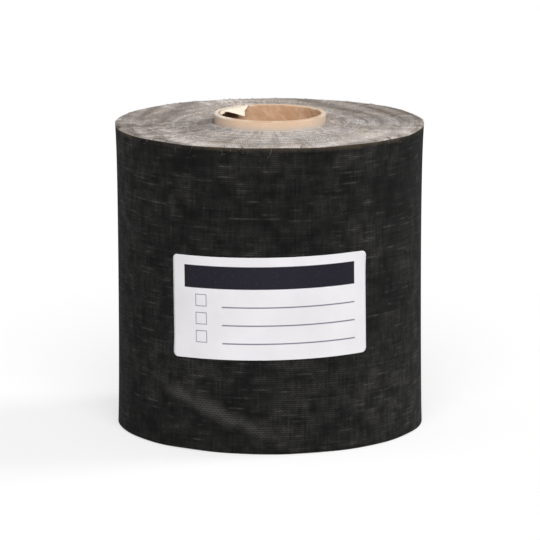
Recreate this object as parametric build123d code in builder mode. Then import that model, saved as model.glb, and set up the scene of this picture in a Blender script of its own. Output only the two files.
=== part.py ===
from build123d import *
from math import floor, sin
import os

# A roll of asphalt saturated cotton fabric, wound on a paper tube, standing on its end.
# Millimetres. +Z runs up the roll's axis, the origin is the centre of its foot,
# and the label faces -Y.

os.makedirs("parts", exist_ok=True)

# The strip of fabric: its width is the height of the wound roll
fabric_width = 152.4
roll_radius = 76.2
ply_pitch = 0.346

# The paper tube in the middle, pushed a little out of the upper end
core_bore_radius = 25.4
core_wall = 2.4
core_length = 152.4
core_rise = 4.6
core_edge_break = 0.3
core_clearance = 0.05

# The wound ends: the plies lie in groups, each a little higher or lower than its neighbours.
# The wander is the share of the depth by which each group differs from the one inside it.
plies_per_band = 10
band_depth = 1.1
upper_wander = 0.38
lower_wander = 0.29
rim_round = 1.3

# The outermost ply's cut end, by its direction round the axis
tail_angle = 45.0

# The paper label, wrapped onto the outermost ply
label_width = 101.6
label_height = 50.8
label_corner = 2.4
label_thickness = 0.15
label_glue = 0.05
label_centre_height = 72.5
label_tilt = 1.0
label_direction = -90.0

# Sizes that follow from those above
core_outer_radius = core_bore_radius + core_wall
winding_inner_radius = core_outer_radius + core_clearance
band_width = plies_per_band * ply_pitch
band_count = floor((roll_radius - winding_inner_radius) / band_width)
turned_radius = roll_radius + ply_pitch


def end_points(end_height, outward, wander):
    """The turned outline of one end, from the bore out to where the rim's round starts.
    The innermost and the outermost group lie flush with the end, the others below it."""
    points = []
    band_inner = winding_inner_radius
    for band in range(band_count):
        is_last = band == band_count - 1
        band_outer = turned_radius - rim_round if is_last else band_inner + band_width
        drop = 0.0 if is_last else band_depth * (band * wander % 1)
        height = end_height - outward * drop
        points.append((band_inner, height))
        points.append((band_outer, height))
        band_inner = band_outer
    return points


def spiral_arcs():
    """The outermost ply seen from above, as four quarter circles. Each has a radius one
    quarter of a ply less than the one before, about a centre moved over by as much, so
    that the quarters run on smoothly and the last ends one ply inside the first."""
    quarter_drop = ply_pitch / 4
    centre = Vector(0, 0)
    radius = roll_radius
    start = tail_angle
    arcs = []
    for quarter in range(4):
        arcs.append((centre, radius, start))
        start += 90
        centre = centre + Vector(quarter_drop, 0).rotate(Axis.Z, start)
        radius -= quarter_drop
    return arcs


ply_quarters = spiral_arcs()

# The wound fabric: turned ends and bore, trimmed to the spiral of the outermost ply
with BuildPart() as fabric_roll:
    lower_end = end_points(0, -1, lower_wander)
    upper_end = end_points(fabric_width, 1, upper_wander)
    with BuildSketch(Plane.XZ):
        with BuildLine():
            Polyline(*lower_end)
            RadiusArc(lower_end[-1], (turned_radius, rim_round), -rim_round)
            Line((turned_radius, rim_round), (turned_radius, fabric_width - rim_round))
            RadiusArc((turned_radius, fabric_width - rim_round), upper_end[-1], -rim_round)
            Polyline(*reversed(upper_end))
            Line(upper_end[0], lower_end[0])
        make_face()
    revolve(axis=Axis.Z)
    with BuildSketch(Plane.XY.offset(-rim_round)):
        with BuildLine() as spiral:
            for centre, radius, start in ply_quarters:
                CenterArc(centre, radius, start, 90)
            Line(spiral.line @ 1, spiral.line @ 0)
        make_face()
    extrude(amount=fabric_width + 2 * rim_round, mode=Mode.INTERSECT)

# The paper tube, with the sharp corners of its cut ends worn off
with BuildPart() as core_tube:
    with BuildSketch(Plane.XY.offset(core_rise)):
        Circle(core_outer_radius)
        Circle(core_bore_radius, mode=Mode.SUBTRACT)
    extrude(amount=core_length)
    chamfer(core_tube.edges().filter_by(GeomType.CIRCLE), core_edge_break)

# The label: a flat rounded rectangle pushed through a paper-thin shell, which lies on the
# quarter of the outermost ply that faces the label's direction
label_quarter = floor((label_direction - tail_angle) % 360 / 90)
label_centre, ply_radius, quarter_start = ply_quarters[label_quarter]
label_inner_radius = ply_radius + label_glue
label_outer_radius = label_inner_radius + label_thickness
label_chord = 2 * label_outer_radius * sin(label_width / (2 * label_outer_radius))
label_plane = Plane(
    origin=(label_centre.X, label_centre.Y, label_centre_height),
    x_dir=Vector(0, 1, 0).rotate(Axis.Z, label_direction),
    z_dir=Vector(1, 0, 0).rotate(Axis.Z, label_direction),
)
with BuildPart() as label:
    with BuildSketch(label_plane):
        RectangleRounded(label_chord, label_height, label_corner, rotation=label_tilt)
    extrude(amount=label_outer_radius + label_thickness)
    with BuildSketch(Plane.XY.offset(label_centre_height - label_height)):
        with Locations(label_centre):
            Circle(label_outer_radius)
            Circle(label_inner_radius, mode=Mode.SUBTRACT)
    extrude(amount=2 * label_height, mode=Mode.INTERSECT)

fabric_roll.part.label = "fabric_roll"
core_tube.part.label = "core_tube"
label.part.label = "label"

export_step(fabric_roll.part, "parts/fabric_roll.step")
export_step(core_tube.part, "parts/core_tube.step")
export_step(label.part, "parts/label.step")
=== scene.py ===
# %% [markdown]
# A roll of asphalt saturated fabric, in Blender
#
# The real thing is one long strip of black woven cotton, soaked with asphalt and wound
# about 140 times round a paper tube. It stands on its end, with a white label on its side.
# The solids come from a frame that is already at its real size, so this lesson only gives
# them their looks. The frame comes first, so that every piece can take its place in it.

# %% Load the frame
from math import atan, cos, degrees, exp, pi, radians, sin, sqrt

import bpy
import numpy as np
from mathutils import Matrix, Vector, noise


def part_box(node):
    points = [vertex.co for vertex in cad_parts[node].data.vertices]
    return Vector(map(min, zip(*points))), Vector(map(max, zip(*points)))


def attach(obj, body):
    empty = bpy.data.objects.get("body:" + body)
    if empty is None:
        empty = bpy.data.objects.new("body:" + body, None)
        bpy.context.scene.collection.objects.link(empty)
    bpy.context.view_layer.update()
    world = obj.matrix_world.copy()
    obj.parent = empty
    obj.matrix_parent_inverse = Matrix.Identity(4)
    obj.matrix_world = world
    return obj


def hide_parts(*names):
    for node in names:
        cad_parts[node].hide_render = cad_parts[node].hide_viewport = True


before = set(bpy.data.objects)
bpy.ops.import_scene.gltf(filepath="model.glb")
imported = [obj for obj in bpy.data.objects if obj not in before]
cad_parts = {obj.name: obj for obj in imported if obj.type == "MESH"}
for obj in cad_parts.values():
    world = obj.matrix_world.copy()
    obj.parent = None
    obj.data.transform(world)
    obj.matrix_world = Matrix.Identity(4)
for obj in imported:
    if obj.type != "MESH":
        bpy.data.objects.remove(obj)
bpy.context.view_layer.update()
print("nodes in the frame:", sorted(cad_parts))

# %% [markdown]
# Sizes
#
# A maker would measure the strip, the tube and the label before making a copy. Lengths
# are in metres here, because Blender and the frame use them. What the frame knows is read
# from it. What it can't tell, such as how thick one ply is, is a value with a name.

# %% Measure the solids
MM = 0.001
roll_low, roll_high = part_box("fabric_roll")
core_low, core_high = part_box("core_tube")
label_low, label_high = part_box("label")

ROLL_HEIGHT = roll_high.z
TUBE_FOOT = core_low.z
TUBE_TOP = core_high.z
CORE_OUTER = (core_high.x - core_low.x) / 2
LABEL_CENTRE = (label_low.z + label_high.z) / 2
print("the roll is", round(ROLL_HEIGHT / MM, 1), "mm high")

# %% Name the sizes that the boxes can't give
ROLL_RADIUS = 76.2 * MM
PLY = 0.346 * MM
CORE_CLEARANCE = 0.05 * MM
WINDING_INNER = CORE_OUTER + CORE_CLEARANCE

turns_of_strip = (ROLL_RADIUS - WINDING_INNER) / PLY
print("the strip makes", round(turns_of_strip, 1), "turns")

# %% [markdown]
# The camera
#
# The photograph looks slightly down on the roll, from about two metres away. The camera
# could stand closer, but then the wound end would be a rounder ellipse than it is there.
# So it stands in the same place, and a long lens brings the roll closer.

# %% Place the camera
CAMERA_DISTANCE = 2.215
CAMERA_HEIGHT = 0.515
LENS = 300
AIM_LOWER = 1.5 * MM
FARTHEST = 60
aim = Vector((0, 0, 0.5 * (roll_low.z + TUBE_TOP) - AIM_LOWER))

camera = bpy.data.objects.new("camera", bpy.data.cameras.new("camera"))
bpy.context.scene.collection.objects.link(camera)
camera.location = (0, -CAMERA_DISTANCE, CAMERA_HEIGHT)
camera.rotation_euler = (aim - camera.location).to_track_quat("-Z", "Y").to_euler()
camera.data.lens = LENS
camera.data.clip_end = FARTHEST
bpy.context.scene.camera = camera
tilt = atan((CAMERA_HEIGHT - aim.z) / CAMERA_DISTANCE)
print("the camera looks down", round(degrees(tilt), 1), "degrees")

# %% [markdown]
# How the strip lies
#
# Seen from above, the strip is a spiral: each turn lies one ply further in. It could be
# drawn as 140 circles, but then nothing would tell where the strip ends. Here its line is
# followed from the cut end inwards, so the step of the cut end comes out by itself.

# %% Follow the strip from its cut end inwards
TAIL_ANGLE = radians(45)
STEPS = 180


def strip_angle(step):
    """Direction of a point of the strip, counted in steps from the cut end."""
    return TAIL_ANGLE + 2 * pi * step / STEPS


def strip_radius(step):
    """Outer face of the strip at that point."""
    return ROLL_RADIUS - PLY * step / STEPS


steps_in_all = int(turns_of_strip * STEPS)
last_turn = steps_in_all - STEPS
print("the strip is followed in", steps_in_all, "steps")

# %% [markdown]
# The wound ends
#
# The edges of the plies don't lie in one plane, because groups of them sprang back when
# the roll was cut. Each ply could get a random height, but then every turn would start
# with a jump. Here the height is worked out along the strip: it runs over from group to
# group, each turn lies a little higher or lower, and slow waves go round the end.

# %% Say how deep a ply lies below the end
BAND_PLIES = 10
BAND_DEPTH = 1.1 * MM
BAND_BLEND = 1.3
UPPER_WANDER = 0.38
LOWER_WANDER = 0.29
RIM_PLIES = 4
RIM_DROP = 0.7 * MM
PLY_JUMP = 0.13 * MM
WAVES = 0.16 * MM

band_count = int(turns_of_strip / BAND_PLIES)
ply_luck = np.random.default_rng(8).normal(0, PLY_JUMP, int(turns_of_strip) + 2)


def smooth_step(share):
    """Runs from 0 to 1 with a soft start and a soft end."""
    share = np.clip(share, 0, 1)
    return share * share * (3 - 2 * share)


def band_depth(band, wander):
    """Depth of one group of plies, counted from the tube outwards."""
    inside = (band > 0) & (band < band_count - 1)
    return np.where(inside, BAND_DEPTH * (band * wander % 1), 0)


def end_depth(step, wander):
    """Depth of the strip's edge below the plane of the roll's end, for an array of steps."""
    plies_in = (strip_radius(step) - WINDING_INNER) / PLY
    band = np.minimum(np.floor(plies_in / BAND_PLIES), band_count - 1)
    into_band = (plies_in - band * BAND_PLIES) / BAND_BLEND
    before = band_depth(band - 1, wander)
    depth = before + (band_depth(band, wander) - before) * smooth_step(into_band)
    depth = depth + np.interp(step / STEPS, np.arange(len(ply_luck)), ply_luck)
    angle = strip_angle(step)
    waves = np.sin(3 * angle + plies_in / 9) + 0.7 * np.sin(8 * angle - plies_in / 7)
    waves = waves + 0.5 * np.sin(15 * angle + 2)
    rim = np.clip(1 - step / STEPS / RIM_PLIES, 0, 1)
    return np.maximum(depth + WAVES * (1 + waves) + RIM_DROP * rim ** 2, 0)


print("groups of plies on each end:", band_count)

# %% [markdown]
# How the roll has settled
#
# A soft roll is never a true cylinder. This one splays a little at its upper rim, is
# slightly out of round, and has a shallow slanting fold low on its front. These could be
# sculpted by hand, but a formula is the same on every run, and the label can follow it.

# %% Draw the fold
FRONT = radians(-90)
FOLD_HEIGHT = 1.0 * MM
FOLD_WIDTH = 3.4 * MM
FOLD_START = (-64 * MM, 32 * MM)
FOLD_LONG = 84 * MM
FOLD_SLANT = radians(-19.5)
FOLD_BEND = 1.3 * MM


def fold_ridge(arc, height):
    """The slanting fold, as a soft ridge along a line on the unrolled side."""
    right, up = arc - FOLD_START[0], height - FOLD_START[1]
    run = (right * cos(FOLD_SLANT) + up * sin(FOLD_SLANT)) / FOLD_LONG
    aside = right * sin(FOLD_SLANT) - up * cos(FOLD_SLANT) + FOLD_BEND * np.sin(2 * pi * run)
    ends = smooth_step(run / 0.25) * smooth_step((1 - run) / 0.35)
    ridge = np.exp(-(aside / FOLD_WIDTH) ** 2)
    valley = np.exp(-((aside - 1.6 * FOLD_WIDTH) / FOLD_WIDTH) ** 2)
    return FOLD_HEIGHT * ends * (ridge - 0.5 * valley)


print("the fold is", round(FOLD_LONG / MM), "mm long")

# %% Say how far a point of the roll has moved outwards
SPLAY = 0.9 * MM
SPLAY_REACH = 14 * MM
FOOT_SPLAY = 0.4 * SPLAY
OUT_OF_ROUND = 0.35 * MM
HOLLOW = 0.35 * MM


def settled_radius(angle, radius, height):
    """Radius of a point after the roll has settled, for arrays of points."""
    outer_share = (radius / ROLL_RADIUS) ** 4
    from_front = (angle - FRONT + pi) % (2 * pi) - pi
    uneven = 0.7 + 0.3 * np.cos(2 * angle + 0.6)
    splay = SPLAY * np.exp(-(ROLL_HEIGHT - height) / SPLAY_REACH) * uneven
    foot = FOOT_SPLAY * np.exp(-height / SPLAY_REACH)
    hollow = -HOLLOW * np.sin(pi * np.clip(height / ROLL_HEIGHT, 0, 1))
    oval = np.cos(2 * angle - 0.8) + 0.4 * np.cos(3 * angle + height / (40 * MM))
    fold = fold_ridge(from_front * ROLL_RADIUS, height)
    return radius + outer_share * (splay + foot + hollow + OUT_OF_ROUND * oval + fold)


def round_axis(angle, radius, height):
    """Points at some direction and distance from the axis, as rows of x, y and z."""
    level = radius * np.cos(angle), radius * np.sin(angle)
    return np.stack(np.broadcast_arrays(*level, height), axis=-1)


def place_points(angle, radius, height):
    """The same, for points of the settled roll."""
    return round_axis(angle, settled_radius(angle, radius, height), height)


behind_label = settled_radius(FRONT, ROLL_RADIUS, LABEL_CENTRE)
print("behind the label the roll is", round(behind_label / MM, 2), "mm in radius")

# %% [markdown]
# The strip's cut end
#
# Only the tack of the asphalt holds the last turn, so its cut end stands off the roll by
# a hair, and its shadow shows where the strip ends. A flap of its own would leave a gap,
# so the strip itself is lifted, by an amount that fades out over a thumb's width.

# %% Say how far the cut end stands off
TAIL_LIFT = 0.75 * MM
TAIL_REACH = 20 * MM


def tail_lift(step, height):
    """How far the strip stands off the roll near its cut end, for arrays of points."""
    way = step * 2 * pi * ROLL_RADIUS / STEPS
    uneven = 0.6 + 0.25 * np.sin(height / (17 * MM)) + 0.15 * np.sin(height / (7 * MM) + 1)
    return TAIL_LIFT * uneven * smooth_step(1 - way / TAIL_REACH)


print("the cut end stands off by up to", round(TAIL_LIFT / MM, 2), "mm")

# %% [markdown]
# The wound fabric as one mesh
#
# The side is the outermost turn of cloth, and the two ends show the cut edges. On the
# upper end every ply is a small ridge, with a groove on each side and the cut yarns on its
# crest. A modifier could raise such ridges, but it knows nothing of the spiral. So the
# points are listed in the order of the strip and joined to those of the next turn.

# %% Turn the strip's line into points
CREST_RISE = 0.3 * MM
CREST_ROUGH = 0.12 * MM


def strip_points(step, height, inwards=0, down=0):
    """Points of the strip at some height, moved inwards or down where that is given."""
    radius = strip_radius(step) - inwards + tail_lift(step, height)
    return place_points(strip_angle(step), radius, height - down)


def wound_points():
    """Points along the strip: its upper grooves, its lower edges and its frayed crests."""
    steps = np.arange(steps_in_all + 1)
    upper = ROLL_HEIGHT - end_depth(steps, UPPER_WANDER)
    frayed = upper - np.random.default_rng(5).uniform(0, CREST_ROUGH, len(steps))
    grooves = strip_points(steps, upper, down=CREST_RISE)
    lower_edges = strip_points(steps, end_depth(steps, LOWER_WANDER))
    crests = strip_points(steps, frayed, inwards=0.5 * PLY)
    return grooves, lower_edges, crests[:last_turn + 1]


grooves, lower_edges, crests = wound_points()
points = np.concatenate([grooves, lower_edges, crests]).tolist()
FIRST_LOWER = len(grooves)
FIRST_CREST = FIRST_LOWER + len(lower_edges)
print("points along the strip:", len(points))

# %% Join the two ends
def end_faces():
    """Two faces of each ply on the upper end and one on the lower end, step by step. The
    grooves come first in the list of points, so the number of a groove is its step."""
    groove = np.arange(last_turn)
    crest, lower = FIRST_CREST + groove, FIRST_LOWER + groove
    next_groove, next_lower = groove + STEPS, lower + STEPS
    faces = [(groove, groove + 1, crest + 1, crest),
             (crest, crest + 1, next_groove + 1, next_groove),
             (lower + 1, lower, next_lower, next_lower + 1)]
    return np.array(faces).transpose(2, 0, 1).reshape(-1, 4).tolist()


cut_faces = end_faces()
print("faces on the ends:", len(cut_faces))

# %% Join the points of a grid
def grid_faces(grid):
    """Faces between the points of a grid, each one down, right, up and left again."""
    corners = [grid[:-1, :-1], grid[1:, :-1], grid[1:, 1:], grid[:-1, 1:]]
    return np.stack(corners, axis=-1).reshape(-1, 4)


def turned(faces):
    """The same faces looking the other way, from the same first corner."""
    return faces[:, [0, 3, 2, 1]]


print("a grid of 2 by 2 points gives", grid_faces(np.arange(4).reshape(2, 2)).tolist())

# %% Join the side, the bore and the strip's two ends
WALL_ROWS = 72
BORE_ROWS = 6


def wall_grid(first_step, rows):
    """Numbers of the points of one turn of cloth, row by row from the upper edge to the
    lower one. The points between the edges are added to the list."""
    steps = first_step + np.arange(STEPS + 1)
    upper, lower = grooves[steps, 2], lower_edges[steps, 2]
    grid = [steps]
    for row in range(1, rows):
        grid.append(len(points) + np.arange(STEPS + 1))
        points.extend(strip_points(steps, upper + (lower - upper) * row / rows).tolist())
    return np.array(grid + [FIRST_LOWER + steps])


def cloth_turn(grid, crest, outwards):
    """Faces of one turn of cloth, and the narrow ones where the strip stops, between the
    two sides of one ply. They look away from the axis or towards it."""
    first, last = grid[0, [0, STEPS]].tolist()
    narrow = turned(grid_faces(grid[:, [0, STEPS]])).tolist()
    faces = grid_faces(grid).tolist() + [[first, crest, last]] + narrow
    return faces if outwards else [face[::-1] for face in faces]


cloth_faces = cloth_turn(wall_grid(0, WALL_ROWS), FIRST_CREST, True)
cloth_faces += cloth_turn(wall_grid(last_turn, BORE_ROWS), FIRST_CREST + last_turn, False)
print("faces on the side and in the bore:", len(cloth_faces))

# %% Make the mesh
def new_piece(name, points, faces, smooth):
    """A mesh object in the scene. smooth is one answer, or one for each face."""
    mesh = bpy.data.meshes.new(name)
    mesh.from_pydata(points, [], faces)
    mesh.polygons.foreach_set("use_smooth", np.full(len(faces), smooth))
    mesh.update()
    piece = bpy.data.objects.new(name, mesh)
    bpy.context.scene.collection.objects.link(piece)
    return piece


is_cloth = np.arange(len(cloth_faces) + len(cut_faces)) < len(cloth_faces)
wound_fabric = new_piece("wound_fabric", points, cloth_faces + cut_faces, is_cloth)
wound_fabric.data.polygons.foreach_set("material_index", np.where(is_cloth, 0, 1))
print("faces of the wound fabric:", len(wound_fabric.data.polygons))

# %% [markdown]
# Sums with nodes
#
# Each finish below is a small graph of nodes. Built with Blender's plain calls, every sum
# takes four lines, and the idea gets lost. So the output of a node is wrapped as an
# Amount, and each of the usual signs between two amounts makes one Math node.

# %% Write sums of node outputs as plain sums
class Amount:
    """A number, place or colour that changes over the surface: one output of a node."""

    def __init__(self, tree, output):
        self.tree = tree
        self.output = output

    def beside(self, name):
        """Another output of the same node."""
        return Amount(self.tree, self.output.node.outputs[name])

    def __add__(self, other):
        return calc("ADD", self, other)

    def __sub__(self, other):
        return calc("SUBTRACT", self, other)

    def __rsub__(self, other):
        return calc("SUBTRACT", other, self)

    def __mul__(self, other):
        return calc("MULTIPLY", self, other)

    def __truediv__(self, other):
        return calc("DIVIDE", self, other)


def feed(socket, value):
    """Links an amount to a socket, or types a plain value into it."""
    if isinstance(value, Amount):
        value.tree.links.new(value.output, socket)
    else:
        socket.default_value = value


def add_node(tree, kind, inputs, output=0, **settings):
    """Makes one node, feeds its inputs, and returns one of its outputs."""
    made = tree.nodes.new("ShaderNode" + kind)
    for name, value in settings.items():
        setattr(made, name, value)
    for name, value in inputs.items():
        feed(made.inputs[name], value)
    return Amount(tree, made.outputs[output])


def calc(operation, *values):
    """One Math node, such as calc("SINE", angle)."""
    tree = next(value.tree for value in values if isinstance(value, Amount))
    return add_node(tree, "Math", dict(enumerate(values)), operation=operation)


def largest(first, *others):
    """The largest of some amounts."""
    for other in others:
        first = calc("MAXIMUM", first, other)
    return first


print("each of the signs + - * / makes a Math node now")

# %% [markdown]
# A maker's kit of patterns
#
# Every surface here needs the same few things: soft noise, a range turned into a share, a
# blend of two colours, and a bump with a real depth. They could be put together anew in
# each finish, but with a function for each of them a finish is as short as a recipe. What
# is the same all over a surface is typed into the shader, where an export can find it.

# %% Helpers for patterns and colours
def share_of(value, low, high, start=0.0, end=1.0):
    """Where an amount lies between low and high, as a number from start to end."""
    limits = dict(enumerate((value, low, high, start, end)))
    return add_node(value.tree, "MapRange", limits)


def joined(x, y, z=0.0):
    """Three amounts as one place."""
    return add_node(x.tree, "CombineXYZ", {0: x, 1: y, 2: z})


def parts_of(place):
    """The three numbers of a place, or of a colour."""
    first = add_node(place.tree, "SeparateXYZ", {0: place})
    return first, first.beside(1), first.beside(2)


def cloudy(place, scale, detail=2.0, rough=0.5):
    """Soft noise from 0 to 1, with about so many patches in a metre as the scale says."""
    inputs = {"Vector": place, "Scale": scale, "Detail": detail, "Roughness": rough}
    return add_node(place.tree, "TexNoise", inputs, "Fac")


def blend_colours(share, first, second):
    """Runs from the first colour to the second as the share goes from 0 to 1."""
    inputs = {"Factor": share, "A": first, "B": second}
    return add_node(share.tree, "Mix", inputs, "Result", data_type="RGBA")


def relief(height, depth, below=None):
    """A bump whose height, from 0 to 1, stands for a real depth in metres."""
    inputs = {"Height": height, "Distance": depth}
    if below is not None:
        inputs["Normal"] = below
    return add_node(height.tree, "Bump", inputs)


def grey(level, warm=1.0, cool=1.0):
    """A nearly grey colour, with a little more or less red and blue."""
    return (level * warm, level, level * cool, 1.0)


print("a middle grey is", grey(0.5))

# %% Start a finish and fill it in
def new_finish(name):
    """An empty finish."""
    finish = bpy.data.materials.new(name)
    finish.use_nodes = True
    return finish


def place_on(finish):
    """The place of each spot of the surface, in metres in the roll's own frame."""
    return add_node(finish.node_tree, "TexCoord", {}, "Object")


class Spot:
    """The spot that is being coloured: its place, its direction round the axis from the
    front in radians, how far across it lies from the axis, and its height."""

    def __init__(self, finish):
        self.place = place_on(finish)
        self.x, self.y, self.height = parts_of(self.place)
        self.direction = calc("ARCTAN2", self.x, self.y * -1.0)
        self.across = calc("SQRT", self.x * self.x + self.y * self.y)


def fill_in(finish, colour, rough, gloss, normal=None):
    """Gives a finish its colour, roughness and gloss, and its relief if it has one."""
    shader = finish.node_tree.nodes["Principled BSDF"]
    feed(shader.inputs["Base Color"], colour)
    feed(shader.inputs["Roughness"], rough)
    feed(shader.inputs["Specular IOR Level"], gloss)
    if normal is not None:
        feed(shader.inputs["Normal"], normal)
    return finish


print("finishes so far, all from the frame:", len(bpy.data.materials))

# %% [markdown]
# The saturated cloth
#
# The side is plain weave with 24 threads to the inch each way, soaked until it is black
# and nearly matt. It could be modelled thread by thread, but there are far too many. So it
# is a relief worked out from two waves, one for the threads that go round and one for
# those that go up, and noise makes the yarn uneven. The crowns of the threads are rubbed
# to a dull brown grey, most of all along the fold, where the pale band is also a painted
# highlight, and the dips keep the black asphalt.

# %% Weave the cloth's pattern
YARN = 25.4 / 24 * MM
THREADS_ROUND = round(2 * pi * ROLL_RADIUS / YARN / 2) * 2
SLACK = 0.55
CROWN_SHAPE = 0.6
DIP = 0.35


def threads_under(spot):
    """How far a spot has come across the threads each way, where pi is one thread."""
    sway = (cloudy(spot.place, 90, 1) - 0.5) * (SLACK * pi)
    bend = (cloudy(spot.place, 55, 2) - 0.5) * (SLACK * pi)
    return spot.direction * (THREADS_ROUND / 2) + sway, spot.height * (pi / YARN) + bend


def crown_of(threads):
    """The rounded crown of a thread, from 0 at its edges to 1 along its middle."""
    return calc("POWER", calc("ABSOLUTE", calc("SINE", threads)), CROWN_SHAPE)


def weave_height(column, row):
    """Height of the woven surface from 0 to 1. The two ways take turns to lie on top."""
    over = calc("COSINE", column) * calc("COSINE", row) * DIP
    return largest(crown_of(row) * (over + 0.62), crown_of(column) * (0.5 - over))


print("the weave has", THREADS_ROUND, "threads up the roll's side")

# %% Give each thread a tone of its own
SLUB_LENGTH = 14 * MM


def tone_of_threads(spot, column, row):
    """Tones that change slowly along each thread, for the threads that go round and for
    those that go up. They are read from the place round the roll, so they have no seam."""
    own_round = calc("FLOOR", row / pi) * 0.83
    own_up = calc("FLOOR", column / pi) * 0.91
    round_place = joined(spot.x / SLUB_LENGTH, spot.y / SLUB_LENGTH, own_round)
    up_place = joined(own_up, spot.height / SLUB_LENGTH, 7.0)
    return cloudy(round_place, 1.0, 3, 0.6), cloudy(up_place, 1.0, 3, 0.6)


print("thick places in the yarn are about", round(SLUB_LENGTH / MM), "mm long")

# %% Find the fold on the cloth
# The band sits on the fold's upper side, where light catches it: wear, and a painted highlight.
FOLD_HIGHLIGHT_ABOVE = 0.3 * FOLD_WIDTH
FOLD_BAND_RAGGED = 2.5 * FOLD_WIDTH
FOLD_BAND_EDGE = 1.9 * FOLD_WIDTH
FOLD_BAND_MIDDLE = 0.2 * FOLD_WIDTH


def fold_wear_and_painted_highlight(spot):
    """1 along the upper side of the fold, rubbed and painted as a highlight, and 0 off it."""
    right = spot.direction * ROLL_RADIUS - FOLD_START[0]
    up = spot.height - (FOLD_START[1] + FOLD_HIGHLIGHT_ABOVE)
    run = right * (cos(FOLD_SLANT) / FOLD_LONG) + up * (sin(FOLD_SLANT) / FOLD_LONG)
    aside = right * sin(FOLD_SLANT) - up * cos(FOLD_SLANT)
    aside = aside + calc("SINE", run * (2 * pi)) * FOLD_BEND
    uneven = cloudy(spot.place, 110, 3, 0.6) - 0.5
    aside = calc("ABSOLUTE", aside + uneven * FOLD_BAND_RAGGED)
    ends = share_of(run, 0.0, 0.2) * share_of(run, 1.0, 0.55)
    return ends * share_of(aside, FOLD_BAND_EDGE, FOLD_BAND_MIDDLE)


print("the fold is rubbed up to", round(FOLD_BAND_EDGE / MM, 1), "mm to each side")

# %% Make the cloth's finish
ASPHALT_BLACK = grey(0.004)
RUBBED_YARN = grey(0.085, 1.04, 0.95)
DUSTY_YARN = grey(0.13, 1.04, 0.93)
RIM_BROWN = grey(0.085, 1.35, 0.65)
FRAY_RAGGED = 5 * MM
WEAVE_DEEP = 0.42 * MM
BLOTS_DEEP = 0.3 * MM
PATCHES_DEEP = 0.8 * MM


def browned_rim(spot):
    """1 at the frayed upper rim, where the cut has browned the cloth, and 0 below it."""
    frayed = spot.height + cloudy(spot.place, 120, 3, 0.7) * FRAY_RAGGED
    rim = share_of(frayed, ROLL_HEIGHT - 0.4 * MM, ROLL_HEIGHT + 2.2 * MM)
    return rim * share_of(cloudy(spot.place, 42, 2), 0.35, 0.62, 0.15, 0.85)


def saturated_cloth():
    """Black woven cotton, soaked with asphalt."""
    finish = new_finish("saturated_cloth")
    spot = Spot(finish)
    column, row = threads_under(spot)
    woven = weave_height(column, row)
    round_tone, up_tone = tone_of_threads(spot, column, row)
    yarn_tone = round_tone * 0.5 + up_tone * 0.5
    patches = cloudy(spot.place, 22, 3, 0.6)
    blots = cloudy(spot.place, 130, 2, 0.55)
    crown = share_of(woven, 0.30, 0.85)
    wear_and_painted_highlight = share_of(yarn_tone, 0.34, 0.64, 0.2, 1.0) * share_of(blots, 0.34, 0.66, 0.25, 1.0)
    wear_and_painted_highlight = wear_and_painted_highlight * share_of(patches, 0.34, 0.66, 0.35, 1.2)
    # Painted highlight: the fold's upper side is painted pale like rubbed yarn.
    wear_and_painted_highlight = largest(wear_and_painted_highlight, fold_wear_and_painted_highlight(spot) * share_of(blots, 0.3, 0.6, 0.6, 1.0) * 1.25)
    colour = blend_colours(wear_and_painted_highlight * crown, ASPHALT_BLACK, RUBBED_YARN)
    dusty = share_of(round_tone, 0.60, 0.76) * crown * 0.5
    colour = blend_colours(dusty, colour, DUSTY_YARN)
    colour = blend_colours(browned_rim(spot), colour, RIM_BROWN)
    normal = relief(blots, BLOTS_DEEP, relief(patches, PATCHES_DEEP))
    normal = relief(woven + yarn_tone * 0.7, WEAVE_DEEP, normal)
    rough = share_of(yarn_tone, 0.35, 0.65, 0.95, 0.82)
    return fill_in(finish, colour, rough, gloss=0.12, normal=normal)


wound_fabric.data.materials.append(saturated_cloth())
print("made", wound_fabric.data.materials[0].name)

# %% [markdown]
# The cut edges
#
# Where the roll was cut, each ply shows the raw ends of its upright threads. The asphalt
# never reached the middle of them, so the end is pale taupe, with black between the plies.
# Rings of noise would close on themselves, which a wound strip doesn't. So the pattern is
# worked out from the spiral: how far in a spot lies says which ply it is on, and the way
# along that ply says which thread. The blade has left marks that run outwards.

# %% Find the ply and the thread under a spot
def ply_and_thread(spot):
    """Plies counted inwards from the cut end, and threads counted along a ply."""
    turn = (spot.direction + (radians(360) - (TAIL_ANGLE - FRONT))) / (2 * pi)
    return (ROLL_RADIUS - spot.across) / PLY - turn, spot.direction * spot.across / YARN


def specks(place, randomness):
    """Distance to the nearest of many scattered points, and a random number for it."""
    inputs = {"Vector": place, "Scale": 1.0, "Randomness": randomness}
    distance = add_node(place.tree, "TexVoronoi", inputs, "Distance")
    return distance, parts_of(distance.beside("Color"))[0]


print("a thread every", round(YARN / MM, 2), "mm along each ply")

# %% Say how pale the cut cotton is
# Painted light: the cut end is painted paler on the side that faces this direction.
PAINTED_LIT_SIDE = radians(30)
DULL_FROM = 3.5 * MM
DULL_TO = 0.5 * MM


def drawn_out(spot, round_scale, across_scale):
    """A place for noise that is drawn out round the axis or away from it, with no seam."""
    x = calc("COSINE", spot.direction) * round_scale
    y = calc("SINE", spot.direction) * round_scale
    return joined(x, y, spot.across * across_scale)


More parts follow.
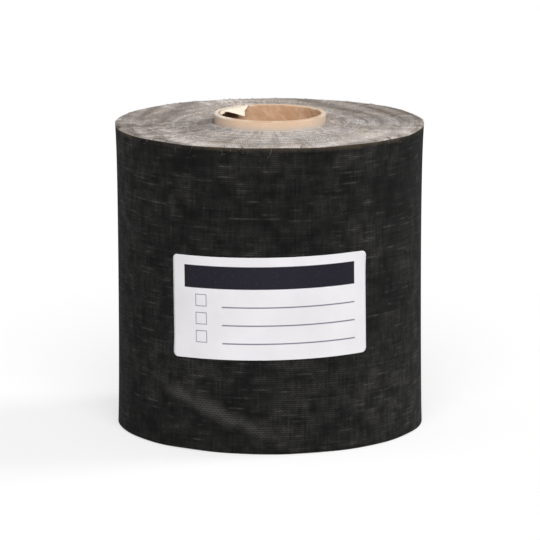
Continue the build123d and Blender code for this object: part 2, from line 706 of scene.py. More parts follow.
def cotton_tone(spot, ply_scale):
    """How pale the cut cotton is, from 0 to 1: dull at the rim, and palest at the front right,
    where light is painted on.
    """
    ply_tone = cloudy(drawn_out(spot, 1.4, ply_scale / PLY), 1.0, 2)
    blots = cloudy(spot.place, 150, 3, 0.65)
    patches = cloudy(spot.place, 55, 2)
    blade_marks = cloudy(drawn_out(spot, 12.0, 20.0), 1.0, 5, 0.7)
    tone = ply_tone * 0.20 + blots * 0.20 + patches * 0.16 + blade_marks * 0.56
    # Painted light: paler towards the front right, darker towards the back left.
    from_painted_lit_side = calc("COSINE", spot.direction - PAINTED_LIT_SIDE)
    tone = tone + share_of(from_painted_lit_side, -1.0, 1.0, -0.060, 0.032)
    rim = share_of(spot.across, ROLL_RADIUS - DULL_FROM, ROLL_RADIUS - DULL_TO, 0.0, 0.035)
    return share_of(tone - rim, 0.502, 0.610)


def asphalt_stain(spot, most):
    """How far asphalt has browned the cotton: in a few blots only."""
    return share_of(cloudy(spot.place, 85, 3, 0.6), 0.60, 0.74) * most


print("the cotton is palest", round(degrees(PAINTED_LIT_SIDE)), "degrees to the right of the front")

# %% Make the cut edges' finish
CUT_DARK = grey(0.20, 1.12, 0.88)
CUT_COTTON = grey(0.62, 1.12, 0.92)
CUT_PALE = grey(0.86, 1.07, 0.97)
CUT_BROWN = grey(0.26, 1.30, 0.70)
CUT_DEEP = 0.25 * MM


def cut_edges():
    """The end of the roll: pale thread ends in rows, with black between the plies."""
    finish = new_finish("cut_edges")
    spot = Spot(finish)
    plies, threads = ply_and_thread(spot)
    off_middle = calc("ABSOLUTE", calc("FRACT", plies) - 0.5)
    distance, luck = specks(joined(plies, threads), 0.7)
    thread_end = share_of(distance, 0.62, 0.2)
    cotton = share_of(off_middle, 0.5, 0.16) * (thread_end * 0.55 + 0.45)
    tone = cotton_tone(spot, 0.9)
    colour = blend_colours(cotton, CUT_DARK, CUT_COTTON)
    colour = blend_colours(tone * cotton * share_of(luck, 0.2, 0.8), colour, CUT_PALE)
    colour = blend_colours(asphalt_stain(spot, 0.6), colour, CUT_BROWN)
    normal = relief(cotton + tone * 0.5, CUT_DEEP)
    return fill_in(finish, colour, rough=0.9, gloss=0.15, normal=normal)


wound_fabric.data.materials.append(cut_edges())
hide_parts("fabric_roll")
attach(wound_fabric, "root")
print("the roll has", len(wound_fabric.data.materials), "finishes")

# %% [markdown]
# Cut thread ends
#
# A brush of thread ends stands up from the wound end, one for each upright thread of each
# ply, and they catch the light one by one. A particle system would lose track of the
# plies. So each one is placed along the strip's own line, as a tiny closed pyramid that
# leans a little at random. A few are longer and lie over, like fluff.

# %% Find every thread along the strip
def thread_steps(luck):
    """Steps from the cut end to each thread. The threads are unevenly far apart, so they
    don't line up from ply to ply."""
    steps = np.arange(last_turn + 1)
    way = np.concatenate([[0], np.cumsum(strip_radius(steps[:-1]) * 2 * pi / STEPS)])
    gaps = luck.uniform(0.8 * YARN, 1.2 * YARN, int(way[-1] / YARN))
    return np.interp(np.cumsum(gaps), way, steps)


print("threads in the outermost ply:", round(2 * pi * ROLL_RADIUS / YARN))

# %% Raise a pyramid on each of them
STUB_ROUND = 0.30 * MM
STUB_IN = 0.14 * MM
STUB_RISE = (0.05 * MM, 0.45 * MM)
STUB_LEAN = 0.24 * MM
STUB_ROOT = 0.2 * MM
STUB_ASIDE = 0.16
FLUFF_SHARE = 0.035
FLUFF_RISE = 0.7 * MM
FLUFF_LEAN = 0.8 * MM


def pyramids(angle, radius, base, rise, lean):
    """Points and faces of one closed pyramid on three corners for each entry."""
    outward = round_axis(angle, 1, 0)
    onward = outward[:, [1, 0, 2]] * (-1, 1, 1)
    foot = round_axis(angle, radius, base)
    inner = foot - outward * STUB_IN / 2
    side = onward * STUB_ROUND / 2
    tip = foot + np.stack([lean[:, 0], lean[:, 1], rise], axis=-1)
    corners = [inner - side, inner + side, foot + outward * STUB_IN, tip]
    first = 4 * np.arange(len(angle))[:, None]
    sides = [(0, 1, 2), (1, 0, 3), (2, 1, 3), (0, 2, 3)]
    faces = np.concatenate([first + np.array(side) for side in sides])
    return np.stack(corners, axis=1).reshape(-1, 3), faces.tolist()


def stub_pyramids(luck):
    """The thread ends of the upper end, as pyramids."""
    steps = thread_steps(luck)
    count = len(steps)
    angle = strip_angle(steps)
    radius = strip_radius(steps) - (0.5 + luck.uniform(-STUB_ASIDE, STUB_ASIDE, count)) * PLY
    base = ROLL_HEIGHT - (end_depth(steps, UPPER_WANDER) + STUB_ROOT)
    radius = settled_radius(angle, radius, base)
    fluff = luck.random(count) < FLUFF_SHARE
    rise = STUB_ROOT + luck.uniform(*STUB_RISE, count) + FLUFF_RISE * fluff * luck.random(count)
    lean = luck.normal(0, 1, (count, 2)) * np.where(fluff, FLUFF_LEAN, STUB_LEAN)[:, None]
    return pyramids(angle, radius, base, rise, lean)


thread_ends = new_piece("cut_thread_ends", *stub_pyramids(np.random.default_rng(11)), False)
print("thread ends on the upper end:", len(thread_ends.data.polygons) // 4)

# %% [markdown]
# Raw cotton
#
# Where the asphalt never reached it, the cotton is dry and pale, greyer in one place and
# creamier in another. One colour would make the brush look like plastic. So its tone comes
# from the same function as that of the cut edges below it, and a fine noise gives each
# thread end a tone of its own.

# %% Make the cotton's finish
COTTON_DULL = grey(0.21, 1.15, 0.88)
COTTON_WARM = grey(0.78, 1.12, 0.90)
COTTON_COOL = grey(0.82, 1.04, 1.00)


def raw_cotton():
    """Dry cotton that the asphalt never reached, darker on some plies than on others."""
    finish = new_finish("raw_cotton")
    spot = Spot(finish)
    own_tone = share_of(cloudy(spot.place, 900, 1), 0.3, 0.7, 0.0, 0.2)
    tone = cotton_tone(spot, 0.35) * 0.8 + own_tone
    cool = share_of(cloudy(spot.place, 60, 2), 0.42, 0.58)
    colour = blend_colours(tone, COTTON_DULL, blend_colours(cool, COTTON_WARM, COTTON_COOL))
    colour = blend_colours(asphalt_stain(spot, 0.75), colour, CUT_BROWN)
    return fill_in(finish, colour, rough=0.9, gloss=0.15)


thread_ends.data.materials.append(raw_cotton())
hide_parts("fabric_roll")
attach(thread_ends, "root")
print("made", thread_ends.data.materials[0].name)

# %% [markdown]
# Loose threads
#
# Cut cloth sheds: the threads that go round end in a short fringe at the strip's cut end,
# and here and there one has come loose at the rim. Hair particles would be quick, but they
# can't be told to start at a thread. So each loose thread is a bent line of a few points,
# and all lines become thin closed tubes in one mesh.

# %% Turn bent lines into thin tubes
THREAD_HALF_THICK = 0.14 * MM
THREAD_TAPER = 0.45


def unit(vectors):
    """Vectors of length 1, for an array of vectors."""
    return vectors / np.maximum(np.linalg.norm(vectors, axis=-1, keepdims=True), 1e-9)


def thin_tubes(lines):
    """Points and faces of a closed tube with three sides for each line of points."""
    count, length, _ = lines.shape
    onward = unit(np.gradient(lines, axis=1))
    across = unit(np.cross(onward, unit(lines * (1, 1, 0))))
    upright = np.cross(across, onward)
    turns = (np.arange(3) * 2 * pi / 3)[:, None]
    rings = across[:, :, None] * np.cos(turns) + upright[:, :, None] * np.sin(turns)
    taper = np.linspace(1, THREAD_TAPER, length)[:, None, None]
    points = (lines[:, :, None] + THREAD_HALF_THICK * taper * rings).reshape(-1, 3)
    faces = []
    for tube in np.arange(len(points)).reshape(count, length, 3):
        faces.append(tube[0].tolist())
        faces += grid_faces(tube[:, [0, 1, 2, 0]]).tolist()
        faces.append(tube[-1, ::-1].tolist())
    return points, faces


print("a loose thread is", round(2 * THREAD_HALF_THICK / MM, 2), "mm thick at its root")

# %% Draw the fringe and the threads at the rim
FRINGE_LONG = (0.5 * MM, 3.2 * MM)
RIM_THREADS = 70
RIM_LONG = (1.5 * MM, 8 * MM)
LINE_POINTS = 9
along = np.linspace(0, 1, LINE_POINTS)


def fringe_lines(luck):
    """One short line for each thread that ends at the strip's cut end."""
    start = np.arange(1.5 * YARN, ROLL_HEIGHT - 1.5 * YARN, YARN)
    count = len(start)
    long = luck.uniform(*FRINGE_LONG, count)[:, None]
    angle = TAIL_ANGLE + (0.4 * MM - long * along) / ROLL_RADIUS
    height = start[:, None] + luck.normal(0, 0.35, count)[:, None] * long * along ** 1.5
    curl = luck.uniform(-0.1, 0.5, count)[:, None] * MM * along ** 2
    stand = tail_lift(0, start)[:, None] * (1 - 0.7 * along) + curl
    return place_points(angle, ROLL_RADIUS - 0.5 * PLY + stand, height)


def rim_lines(luck):
    """Loose threads that start at the upper rim and bend over the side or the end."""
    long = luck.uniform(*RIM_LONG, RIM_THREADS)[:, None]
    turn = luck.uniform(-1.3, 1.3, RIM_THREADS)[:, None]
    start = luck.uniform(0, 2 * pi, RIM_THREADS)[:, None]
    angle = start + long * np.sin(turn * along) * along / ROLL_RADIUS
    over_side = luck.choice([-1, 1], RIM_THREADS)[:, None] > 0
    down = long * along * np.cos(turn * along)
    radius = ROLL_RADIUS + np.where(over_side, 0.25 * MM * np.sin(pi * along), -0.6 * down)
    drop = np.where(over_side, 0.8 * down, -0.9 * MM * np.sin(pi * along ** 0.7))
    return place_points(angle, radius, ROLL_HEIGHT - RIM_DROP - drop)


thread_luck = np.random.default_rng(31)
loose_lines = np.concatenate([fringe_lines(thread_luck), rim_lines(thread_luck)])
loose_threads = new_piece("loose_threads", *thin_tubes(loose_lines), True)
print("loose threads:", len(loose_lines))

# %% Make the loose threads' finish
THREAD_SOAKED = grey(0.040, 1.05, 0.95)
THREAD_BARE = grey(0.36, 1.15, 0.84)


def soaked_thread():
    """Cotton thread, black where the asphalt reached it and bare elsewhere."""
    finish = new_finish("soaked_thread")
    bare = share_of(cloudy(place_on(finish), 900, 2, 0.7), 0.50, 0.70)
    colour = blend_colours(bare, THREAD_SOAKED, THREAD_BARE)
    return fill_in(finish, colour, rough=0.85, gloss=0.15)


loose_threads.data.materials.append(soaked_thread())
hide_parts("fabric_roll")
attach(loose_threads, "root")
print("made", loose_threads.data.materials[0].name)

# %% [markdown]
# The paper tube
#
# The core is wound from strips of brown paper, glued in a steep spiral, and sawn off. So
# it has a fine joint that climbs round its bore, and thin lines between the layers on its
# rim. A Screw modifier could turn its section, but couldn't move single points for the
# joint and the saw marks. So the points are turned here, up the outside, over the rim and
# down the bore, with rows close together near the mouth, where one looks in.

# %% Draw the tube's section
CORE_WALL = 2.4 * MM
CORE_BORE = CORE_OUTER - CORE_WALL
TUBE_LAYERS = 5
EDGE_BREAK = 0.3 * MM
MOUTH_DEEP = 30 * MM
FOOT_ROWS = 5


def tube_section():
    """Radius and height of the tube's section, once round, as rows of pairs."""
    low, high = TUBE_FOOT + EDGE_BREAK, TUBE_TOP - EDGE_BREAK
    inner, outer = CORE_BORE + EDGE_BREAK, CORE_OUTER - EDGE_BREAK
    outside = [(CORE_OUTER, z) for z in np.linspace(low, ROLL_HEIGHT - 2 * MM, 8)]
    outside += [(CORE_OUTER, z) for z in np.linspace(ROLL_HEIGHT, high, 7)]
    rim = [(radius, TUBE_TOP) for radius in np.linspace(outer, inner, 2 * TUBE_LAYERS + 1)]
    bore = [(CORE_BORE, z) for z in np.linspace(high, TUBE_TOP - MOUTH_DEEP, 48)]
    bore += [(CORE_BORE, z) for z in np.linspace(TUBE_TOP - MOUTH_DEEP - 2 * MM, low, 36)]
    foot = [(radius, TUBE_FOOT) for radius in np.linspace(inner, outer, FOOT_ROWS)]
    return np.array(outside + rim + bore + foot), len(outside), len(rim)


section, outside_rows, rim_rows = tube_section()
print("the bore is", round(CORE_BORE / MM, 1), "mm in radius")

# %% [markdown]
# The torn layer
#
# In the photograph the innermost layer of paper is torn at the left of the mouth: a pale
# flap of it curls in, with dark glue on the wall below, painted darker still as the shade
# of the recess. Patches painted on the wall would look right from one side only. So the
# tube gets a shallow recess where the layer is missing, and the flap is a thin closed
# sheet that bends in from the rim.

# %% Say where the layer is off and where the rim is ragged
PAPER_LAYER = 0.4 * MM
TORN_MIDDLE = radians(151)
TORN_HALF = radians(30)
TORN_DEEP = 13 * MM
TORN_WAVES = ((31, 0.9 * MM), (73, 0.6 * MM))
# Torn places on the rim; the left one is also painted pale as a highlight where the rim catches
# light.
TORN_AND_HIGHLIT_RIM = ((radians(168), radians(62)), (radians(0), radians(24)))


def layer_missing(angle, height):
    """1 where the innermost layer is off the wall, 0 elsewhere, for an array of angles."""
    share = (np.cos(angle - TORN_MIDDLE) - cos(TORN_HALF)) / (1 - cos(TORN_HALF))
    ragged = sum(size * np.sin(waves * angle) for waves, size in TORN_WAVES)
    return smooth_step((height - TUBE_TOP + TORN_DEEP * share + ragged) / (0.8 * MM))


def ragged_share(angle):
    """1 where the sawn rim is torn, 0 elsewhere."""
    shares = [smooth_step((np.cos(angle - middle) - cos(half)) / 0.2) for middle, half in TORN_AND_HIGHLIT_RIM]
    return np.maximum(*shares)


print("the layer is off the wall along", round(2 * TORN_HALF * CORE_BORE / MM), "mm")

# %% Turn the section into a tube
TUBE_COLUMNS = 240
SEAM_CLIMB = 132 * MM
SEAM_WIDTH = 0.9 * MM
SEAM_DEPTH = 0.25 * MM
SEAM_START = radians(62)
LAYER_LINE = 0.09 * MM


def seam_share(angle, height):
    """1 in the butt joint that climbs round the tube, 0 away from it."""
    above = (height - TUBE_TOP - SEAM_CLIMB * (angle - SEAM_START) / (2 * pi)) % SEAM_CLIMB
    aside = np.minimum(above, SEAM_CLIMB - above)
    return np.clip(1 - aside / SEAM_WIDTH, 0, 1)


def tube_points():
    """The tube's points, with its joint, the lines on its rim, and a slightly uneven cut."""
    rough = np.random.default_rng(21)
    angle = np.arange(TUBE_COLUMNS) * 2 * pi / TUBE_COLUMNS
    rows = []
    for row, (radius, height) in enumerate(section):
        into_rim = row - outside_rows
        uneven = 0.06 * np.sin(3 * angle + height / (9 * MM)) + 0.05 * np.sin(7 * angle + 1)
        radius = radius + uneven * MM
        if 0 <= into_rim < rim_rows:
            sawn = rough.uniform(-0.05, 0.04, TUBE_COLUMNS) + 0.1 * np.sin(2 * angle + 0.7)
            torn = ragged_share(angle) * rough.uniform(-0.25, 0.12, TUBE_COLUMNS)
            height = height - LAYER_LINE * (into_rim % 2) + (sawn + torn) * MM
        elif rim_rows <= into_rim and row < len(section) - FOOT_ROWS:
            radius = radius + SEAM_DEPTH * seam_share(angle, height)
            radius = radius + PAPER_LAYER * layer_missing(angle, height)
        else:
            radius = radius - SEAM_DEPTH * seam_share((angle + pi) % (2 * pi), height)
        rows.append(round_axis(angle, radius, height))
    return np.concatenate(rows)


def ring_faces(rows, columns):
    """Faces of a grid that closes on itself, round the axis and round the section."""
    grid = np.pad(np.arange(rows * columns).reshape(rows, columns), (0, 1), mode="wrap")
    return turned(grid_faces(grid)).tolist()


paper_tube = new_piece("paper_tube", tube_points(), ring_faces(len(section), TUBE_COLUMNS), True)
print("faces of the paper tube:", len(paper_tube.data.polygons))

# %% Make a thin closed sheet
def closed_sheet(point, columns, rows):
    """Points and faces of a thin closed sheet. point(along, down, side) gives its surface.
    The faces come in the order front, back, front, back, and the narrow edge last."""
    points = [point(column / columns, row / rows, side)
              for side in (0, 1) for row in range(rows + 1) for column in range(columns + 1)]
    front = np.arange(len(points) // 2).reshape(rows + 1, columns + 1)
    wide = grid_faces(front)
    both_sides = np.stack([wide, wide[:, ::-1] + front.size], axis=1).reshape(-1, 4)
    edge = np.concatenate([front[0, :-1], front[:-1, -1], front[-1, :0:-1], front[:0:-1, 0]])
    after = np.roll(edge, -1)
    narrow = np.stack([edge, after, after + front.size, edge + front.size], axis=-1)
    return points, both_sides.tolist() + narrow.tolist()


print("a sheet has two sides and a narrow edge all round")

# %% Curl the flap
FLAP_FROM = radians(114)
FLAP_TO = radians(192)
FLAP_TIP = radians(140)
FLAP_HALF = radians(12)
FLAP_REACH = 8.4 * MM
FLAP_LEAST = 1.9 * MM
FLAP_DROP = 3.2 * MM
FLAP_CLEAR = 0.03 * MM
FLAP_COLUMNS = 60
FLAP_ROWS = 14


def wander_at(*place):
    """A smooth random number about zero, the same on every run."""
    return noise.noise(Vector(place))


def flap_point(along, inward, side):
    """A point of the flap. side is 0 on its upper face and 1 below it."""
    angle = FLAP_FROM + (FLAP_TO - FLAP_FROM) * along
    torn = wander_at(along * 11, 3.0, 0.5) + 0.6 * wander_at(along * 37, 8.0, 0.5)
    tongue = FLAP_LEAST + (FLAP_REACH - FLAP_LEAST) * exp(-((angle - FLAP_TIP) / FLAP_HALF) ** 2)
    ends = float(smooth_step(along / 0.12) * smooth_step((1 - along) / 0.12))
    reach = (tongue + 0.9 * MM * torn) * ends + 0.1 * MM
    radius = CORE_BORE - FLAP_CLEAR - reach * inward
    drop = FLAP_DROP * reach / FLAP_REACH * inward ** 1.8 - 0.4 * MM * sin(pi * inward)
    curl = 0.35 * MM * wander_at(along * 6, inward * 2.5, 2.0)
    thick = PAPER_LAYER * (1 - 0.6 * inward ** 4)
    height = TUBE_TOP - 0.1 * MM - drop + curl * inward - thick * side
    return round_axis(angle, radius, height)


flap_sheet = closed_sheet(flap_point, FLAP_COLUMNS, FLAP_ROWS)
torn_flap = new_piece("torn_paper_flap", *flap_sheet, True)
print("faces of the flap:", len(torn_flap.data.polygons))

# %% [markdown]
# Brown paper
#
# Kraft paper is warm tan, with faint fibres that run with the spiral and smudges of
# asphalt. Outside it is rubbed paler and has cotton lint on it, and its sawn rim shows the
# layers as thin lines. Each of these could be a piece with one colour, but they run into
# each other. So one finish holds them all, and the place of a spot says which one shows.

# %% Colour the paper where it lies flat
KRAFT = (0.70, 0.455, 0.295, 1.0)
KRAFT_PALE = (0.86, 0.64, 0.47, 1.0)
KRAFT_DEEP = (0.52, 0.31, 0.18, 1.0)
FIBRES_ACROSS = 160.0
FIBRES_ALONG = 24.0


def brown_paper(spot):
    """The colour of flat paper, and its fibres, which run with the spiral without a seam."""
    climb = spot.height - spot.direction * (SEAM_CLIMB / (2 * pi))
    along_fibre = calc("SINE", climb * (2 * pi / SEAM_CLIMB)) * FIBRES_ALONG
    fibre_place = joined(spot.x * FIBRES_ACROSS, spot.y * FIBRES_ACROSS, along_fibre)
    fibres = cloudy(fibre_place, 1.0, 4, 0.65)
    colour = blend_colours(share_of(fibres, 0.3, 0.72), KRAFT_DEEP, KRAFT)
    mottle = share_of(cloudy(spot.place, 140, 3, 0.6), 0.42, 0.75, 0.0, 0.6)
    return blend_colours(mottle, colour, KRAFT_PALE), fibres


print("the fibres climb", round(SEAM_CLIMB / MM), "mm in one turn")

# %% Find the lint, the torn wall and the sawn rim
SAWN_KRAFT = (0.78, 0.58, 0.42, 1.0)
TORN_PAPER = (0.90, 0.81, 0.67, 1.0)


def lint_on_the_wall(spot):
    """How much lint clings to the outside: most at the tube's sides and just above the roll."""
    beside = share_of(calc("COSINE", spot.direction), 0.95, -0.1)
    low = share_of(spot.height, ROLL_HEIGHT + 3.0 * MM, ROLL_HEIGHT + 0.3 * MM)
    uneven = cloudy(spot.place, 120, 5, 0.7) * 1.6
    return share_of(largest(beside, low) + uneven, 1.0, 1.8, 0.0, 0.75)


def glue_and_painted_shade(spot):
    """1 on the wall where the layer is missing and the glue, the asphalt and painted shade show.
    """
    angle = spot.direction + FRONT
    share = (calc("COSINE", angle - TORN_MIDDLE) - cos(TORN_HALF)) / (1 - cos(TORN_HALF))
    deep = share * TORN_DEEP
    for waves, size in TORN_WAVES:
        deep = deep + calc("SINE", angle * waves) * size
    deep = deep - cloudy(spot.place, 300, 3, 0.6) * (2 * MM)
    above = share_of(spot.height + deep, TUBE_TOP - 0.8 * MM, TUBE_TOP + 1.2 * MM)
    below = share_of(spot.height, TUBE_TOP, TUBE_TOP - 0.8 * MM)
    in_bore = share_of(spot.across, CORE_BORE + 0.8 * MM, CORE_BORE + 0.6 * MM)
    uneven = share_of(cloudy(spot.place, 180, 3, 0.6), 0.3, 0.6, 0.6, 0.97)
    return in_bore * below * above * uneven


def sawn_rim(spot):
    """The colour of the sawn rim: thin lines for the layers, pale where it is torn and, on the
    left, a painted highlight.
    """
    layers_in = (spot.across - CORE_BORE) * (pi * TUBE_LAYERS / CORE_WALL)
    layers = share_of(calc("ABSOLUTE", calc("SINE", layers_in)), 0.1, 0.55)
    torn = share_of(cloudy(spot.place, 110, 3, 0.6), 0.52, 0.7, 0.0, 0.6)
    # Painted highlight: the torn places, the left one most, are painted pale torn paper.
    for middle, half in TORN_AND_HIGHLIT_RIM:
        beside = calc("COSINE", spot.direction - (middle - FRONT))
        torn = largest(torn, share_of(beside, cos(half), cos(half) + 0.2))
    return blend_colours(torn, blend_colours(layers, KRAFT_DEEP, SAWN_KRAFT), TORN_PAPER)


print("the rim shows", TUBE_LAYERS, "layers of paper")

# %% Make the tube's finish
LINT = (0.62, 0.55, 0.48, 1.0)
# Glue brown, made dark enough to be painted shade for the recess under the flap.
GLUE_AND_PAINTED_SHADE = (0.060, 0.034, 0.016, 1.0)
SMUDGE = grey(0.05, 1.1, 0.85)
FIBRES_DEEP = 0.08 * MM


def kraft_paper():
    """Brown paper, wound in a spiral, with smudges and a sawn rim."""
    finish = new_finish("kraft_paper")
    spot = Spot(finish)
    colour, fibres = brown_paper(spot)
    outside = share_of(spot.across, CORE_OUTER - 0.7 * MM, CORE_OUTER - 0.3 * MM)
    colour = blend_colours(outside * 0.8, colour, KRAFT_PALE)
    colour = blend_colours(outside * lint_on_the_wall(spot), colour, LINT)
    on_rim = share_of(spot.height, TUBE_TOP - 0.7 * MM, TUBE_TOP - 0.35 * MM)
    colour = blend_colours(on_rim, colour, sawn_rim(spot))
    smudges = share_of(cloudy(spot.place, 95, 4, 0.7), 0.62, 0.8, 0.0, 0.4)
    colour = blend_colours(smudges, colour, SMUDGE)
    # Painted shade: the wall under the flap is painted dark, as glue and as the recess's shade.
    colour = blend_colours(glue_and_painted_shade(spot), colour, GLUE_AND_PAINTED_SHADE)
    normal = relief(fibres + cloudy(spot.place, 1500, 2) * 0.6, FIBRES_DEEP)
    return fill_in(finish, colour, rough=0.82, gloss=0.25, normal=normal)


paper_tube.data.materials.append(kraft_paper())
print("made", paper_tube.data.materials[0].name)

# %% [markdown]
# Torn paper
#
# Where brown paper splits, its inside is pale and woolly, and its glued side stays dark,
# painted darker as the shade under the flap.
# One finish for the whole flap would hide that, so each side has its own. The upper one
# runs over into the brown of the tube where the flap bends in.

# %% Make the flap's two finishes
SPLIT_RAGGED = 3 * MM
SPLIT_DEEP = 0.25 * MM
GLUE_DEEP = 0.1 * MM


def torn_paper():
    """The flap's upper face: pale where the paper split, and brown at the wall."""
    finish = new_finish("torn_paper")
    spot = Spot(finish)
    colour, fibres = brown_paper(spot)
    off_wall = spot.across + cloudy(spot.place, 420, 3, 0.7) * SPLIT_RAGGED
    split = share_of(off_wall, CORE_BORE + 1.6 * MM, CORE_BORE - 0.6 * MM, 0.35, 1.0)
    colour = blend_colours(split, colour, TORN_PAPER)
    return fill_in(finish, colour, rough=0.9, gloss=0.2, normal=relief(fibres, SPLIT_DEEP))


def glue_and_painted_shade_back():
    """The flap's underside, with brown glue and painted shade on it."""
    finish = new_finish("glue_and_painted_shade_back")
    fibres = cloudy(place_on(finish), 700, 4, 0.7)
    # Painted shade: the underside is glue brown and darker, for the shade below the flap.
    colour = blend_colours(share_of(fibres, 0.3, 0.8), GLUE_AND_PAINTED_SHADE, KRAFT_DEEP)
    return fill_in(finish, colour, rough=0.7, gloss=0.5, normal=relief(fibres, GLUE_DEEP))


torn_flap.data.materials.append(torn_paper())
torn_flap.data.materials.append(glue_and_painted_shade_back())
flap_face = np.arange(len(torn_flap.data.polygons))
is_back = np.where(flap_face < 2 * FLAP_COLUMNS * FLAP_ROWS, flap_face % 2, 0)
torn_flap.data.polygons.foreach_set("material_index", is_back)
for piece in (paper_tube, torn_flap):
    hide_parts("core_tube")
    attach(piece, "root")
print("faces on the flap's underside:", int(is_back.sum()))

# %% [markdown]
# The label
#
# The label is white paper with round corners, stuck on by hand about a degree out of
# level. A flat sheet with a Shrinkwrap modifier would float off where the roll dips. So
# its points are placed by the same formula as the roll's side, a little further out. Two
# of its corners have lifted.

# %% Cut the label out
LABEL_WIDE = 101.6 * MM
LABEL_TALL = 50.8 * MM
LABEL_CORNER = 2.4 * MM
LABEL_COLUMNS = 96
LABEL_ROWS = 22
CORNER_ROWS = 6
CORNER_LIFT = 0.55 * MM
CORNER_REACH = 11 * MM


def label_rows():
    """Heights of the label's rows of points, and half its width there, from the top. The
    rows stand close together at the round corners."""
    straight, half = LABEL_TALL / 2 - LABEL_CORNER, LABEL_WIDE / 2
    turns = [pi / 2 * k / CORNER_ROWS for k in range(CORNER_ROWS, 0, -1)]
    top = [(straight + LABEL_CORNER * sin(t), half - LABEL_CORNER * (1 - cos(t))) for t in turns]
    middle = [(straight * (1 - 2 * k / LABEL_ROWS), half) for k in range(LABEL_ROWS + 1)]
    return top + middle + [(-height, half) for height, half in reversed(top)]


def lifted(right, up):
    """How far the label's lower left and upper right corners have come away."""
    lift = 0.0
    for side in (-1, 1):
        away = sqrt((right - side * LABEL_WIDE / 2) ** 2 + (up - side * LABEL_TALL / 2) ** 2)
        lift += CORNER_LIFT * float(smooth_step(1 - away / CORNER_REACH))
    return lift


rows_of_label = label_rows()
print("rows of points on the label:", len(rows_of_label))

# %% Lay it on the roll
LABEL_THICK = 0.15 * MM
LABEL_GLUE = 0.05 * MM
LABEL_TILT = radians(1.0)


def label_point(along, down, side):
    """A point of the label. side is 0 on its face and 1 on its glued back."""
    up, half = rows_of_label[round(down * (len(rows_of_label) - 1))]
    right = half * (2 * along - 1)
    height = LABEL_CENTRE + up * cos(LABEL_TILT) + right * sin(LABEL_TILT)
    angle = FRONT + (right * cos(LABEL_TILT) - up * sin(LABEL_TILT)) / ROLL_RADIUS
    ply = ROLL_RADIUS - PLY * ((angle - TAIL_ANGLE) % (2 * pi)) / (2 * pi)
    radius = float(settled_radius(angle, ply, height))
    radius += LABEL_GLUE + LABEL_THICK * (1 - side) + lifted(right, up)
    return round_axis(angle, radius, height)


label_sheet = closed_sheet(label_point, LABEL_COLUMNS, len(rows_of_label) - 1)
paper_label = new_piece("paper_label", *label_sheet, True)
print("faces of the label:", len(paper_label.data.polygons))

# %% [markdown]
# The print on the label
#
# The label has a generic print: a dark band, and three empty writing lines with an empty
# box before each. An image could be laid on it, but blocks worked out from their sizes
# stay sharp at any distance. The paper is a little uneven, and the weave presses through.

# %% Print on it
BAND_PLACE = (0.0, 15.2 * MM)
BAND_HALF = (44.0 * MM, 5.6 * MM)
LINE_HEIGHTS = (0.6 * MM, -8.4 * MM, -17.4 * MM)
LINE_HALF = (34.0 * MM, 0.32 * MM)
LINE_RIGHT = 10.0 * MM
BOX_RIGHT = -35.0 * MM
BOX_HALF = 3.0 * MM
BOX_RULE = 0.35 * MM
PRINT_SOFT = 0.12 * MM


def block(right, up, centre, half):
    """1 inside a printed block, 0 outside it, with an edge as soft as ink on paper."""
    aside = calc("ABSOLUTE", right - centre[0]) - half[0]
    above = calc("ABSOLUTE", up - centre[1]) - half[1]
    return share_of(largest(aside, above), PRINT_SOFT, -PRINT_SOFT)


def lines_and_boxes(right, up):
    """1 on the writing lines and on the outlines of the boxes, 0 elsewhere."""
    hollow = BOX_HALF - BOX_RULE
    drawn = []
    for level in LINE_HEIGHTS:
        box = (BOX_RIGHT, level + BOX_HALF)
        filled = block(right, up, box, (BOX_HALF, BOX_HALF))
        drawn.append(block(right, up, (LINE_RIGHT, level), LINE_HALF))
        drawn.append(filled - block(right, up, box, (hollow, hollow)))
    return largest(*drawn)


print("writing lines:", len(LINE_HEIGHTS))

# %% Make the label's finish
LABEL_WHITE = grey(0.84, 1.02, 1.03)
LABEL_SHADE = grey(0.76, 1.02, 1.03)
PRINT_DARK = (0.007, 0.006, 0.014, 1.0)
PRINT_GREY = (0.20, 0.18, 0.24, 1.0)
WAVY_DEEP = 0.35 * MM
PRESSED_DEEP = 0.035 * MM
GRAIN_DEEP = 0.01 * MM


def printed_label():
    """White paper with a dark band, three empty lines and an empty box before each."""
    finish = new_finish("printed_label")
    spot = Spot(finish)
    arc = spot.direction * ROLL_RADIUS
    over = spot.height - LABEL_CENTRE
    right = arc * cos(LABEL_TILT) + over * sin(LABEL_TILT)
    up = over * cos(LABEL_TILT) - arc * sin(LABEL_TILT)
    worn_ink = share_of(cloudy(spot.place, 1600, 2, 0.6), 0.2, 0.4, 0.95, 1.0)
    mottle = cloudy(spot.place, 45, 3, 0.6)
    colour = blend_colours(share_of(mottle, 0.35, 0.8), LABEL_WHITE, LABEL_SHADE)
    colour = blend_colours(lines_and_boxes(right, up) * worn_ink, colour, PRINT_GREY)
    colour = blend_colours(block(right, up, BAND_PLACE, BAND_HALF) * worn_ink, colour, PRINT_DARK)
    woven = weave_height(*threads_under(spot))
    normal = relief(woven, PRESSED_DEEP, relief(mottle, WAVY_DEEP))
    normal = relief(cloudy(spot.place, 2500, 2), GRAIN_DEEP, normal)
    return fill_in(finish, colour, rough=0.55, gloss=0.22, normal=normal)


paper_label.data.materials.append(printed_label())
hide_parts("label")
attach(paper_label, "root")
print("made", paper_label.data.materials[0].name)

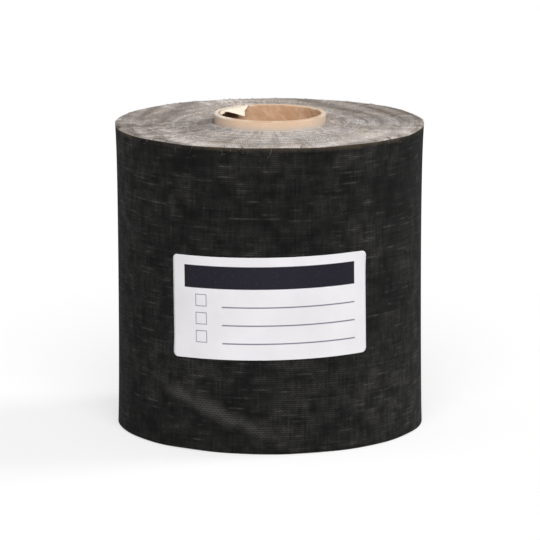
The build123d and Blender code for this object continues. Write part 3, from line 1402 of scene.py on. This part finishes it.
# %% [markdown]
# Floor and light
#
# The photograph was taken on white, with the main light in front of the roll and a weaker
# one that grazes its right side. Lamps close by would leave the far floor grey, so there
# are two distant ones, and an even sky that fills the shadows. The floor adds some white
# of its own where the camera looks at it, so that it stays white without more light on the
# roll. It lies a hair below the foot, because two faces in one plane would flicker.

# %% Lay the floor
FLOOR_HALF = 30.0
FLOOR_BELOW = 0.03 * MM
FLOOR_GLOW = 0.55


def seen_by(tree, first, second):
    """1 for two kinds of rays, such as Camera and Glossy, and 0 for all others."""
    rays = add_node(tree, "LightPath", {}, f"Is {first} Ray")
    return largest(rays, rays.beside(f"Is {second} Ray"))


def white_floor():
    """A matt white floor that looks a little brighter than it is lit."""
    finish = new_finish("white_floor")
    shader = finish.node_tree.nodes["Principled BSDF"]
    shader.inputs["Emission Color"].default_value = grey(1.0)
    glow = seen_by(finish.node_tree, "Camera", "Glossy") * FLOOR_GLOW
    feed(shader.inputs["Emission Strength"], glow)
    return fill_in(finish, grey(0.5), rough=0.95, gloss=0.1)


square = ((-1, -1), (1, -1), (1, 1), (-1, 1))
floor_corners = [(x * FLOOR_HALF, y * FLOOR_HALF, -FLOOR_BELOW) for x, y in square]
floor = new_piece("floor", floor_corners, [(0, 1, 2, 3)], False)
floor.data.materials.append(white_floor())
print("the floor is", 2 * FLOOR_HALF, "metres wide")

# %% Hang the lamps
SKY = 0.33


def far_lamp(name, towards, strength, spread):
    """A distant lamp, given by the direction that it shines from."""
    data = bpy.data.lights.new(name, "SUN")
    data.energy = strength
    data.angle = radians(spread)
    lamp = bpy.data.objects.new(name, data)
    lamp.rotation_euler = Vector(towards).to_track_quat("Z", "Y").to_euler()
    bpy.context.scene.collection.objects.link(lamp)


def sky():
    """An even white sky, which the camera sees as plain white."""
    world = bpy.data.worlds.new("studio")
    world.use_nodes = True
    background = world.node_tree.nodes["Background"]
    background.inputs["Color"].default_value = grey(1.0)
    seen = seen_by(world.node_tree, "Camera", "Transmission")
    feed(background.inputs["Strength"], share_of(seen, 0.0, 1.0, SKY, 1.0))
    bpy.context.scene.world = world


sky()
far_lamp("front_lamp", (0.05, -1.0, 0.7), 2.35, 50)
far_lamp("side_right_lamp", (1.0, 0.3, 0.5), 1.3, 25)
bpy.context.scene.view_settings.view_transform = "Standard"
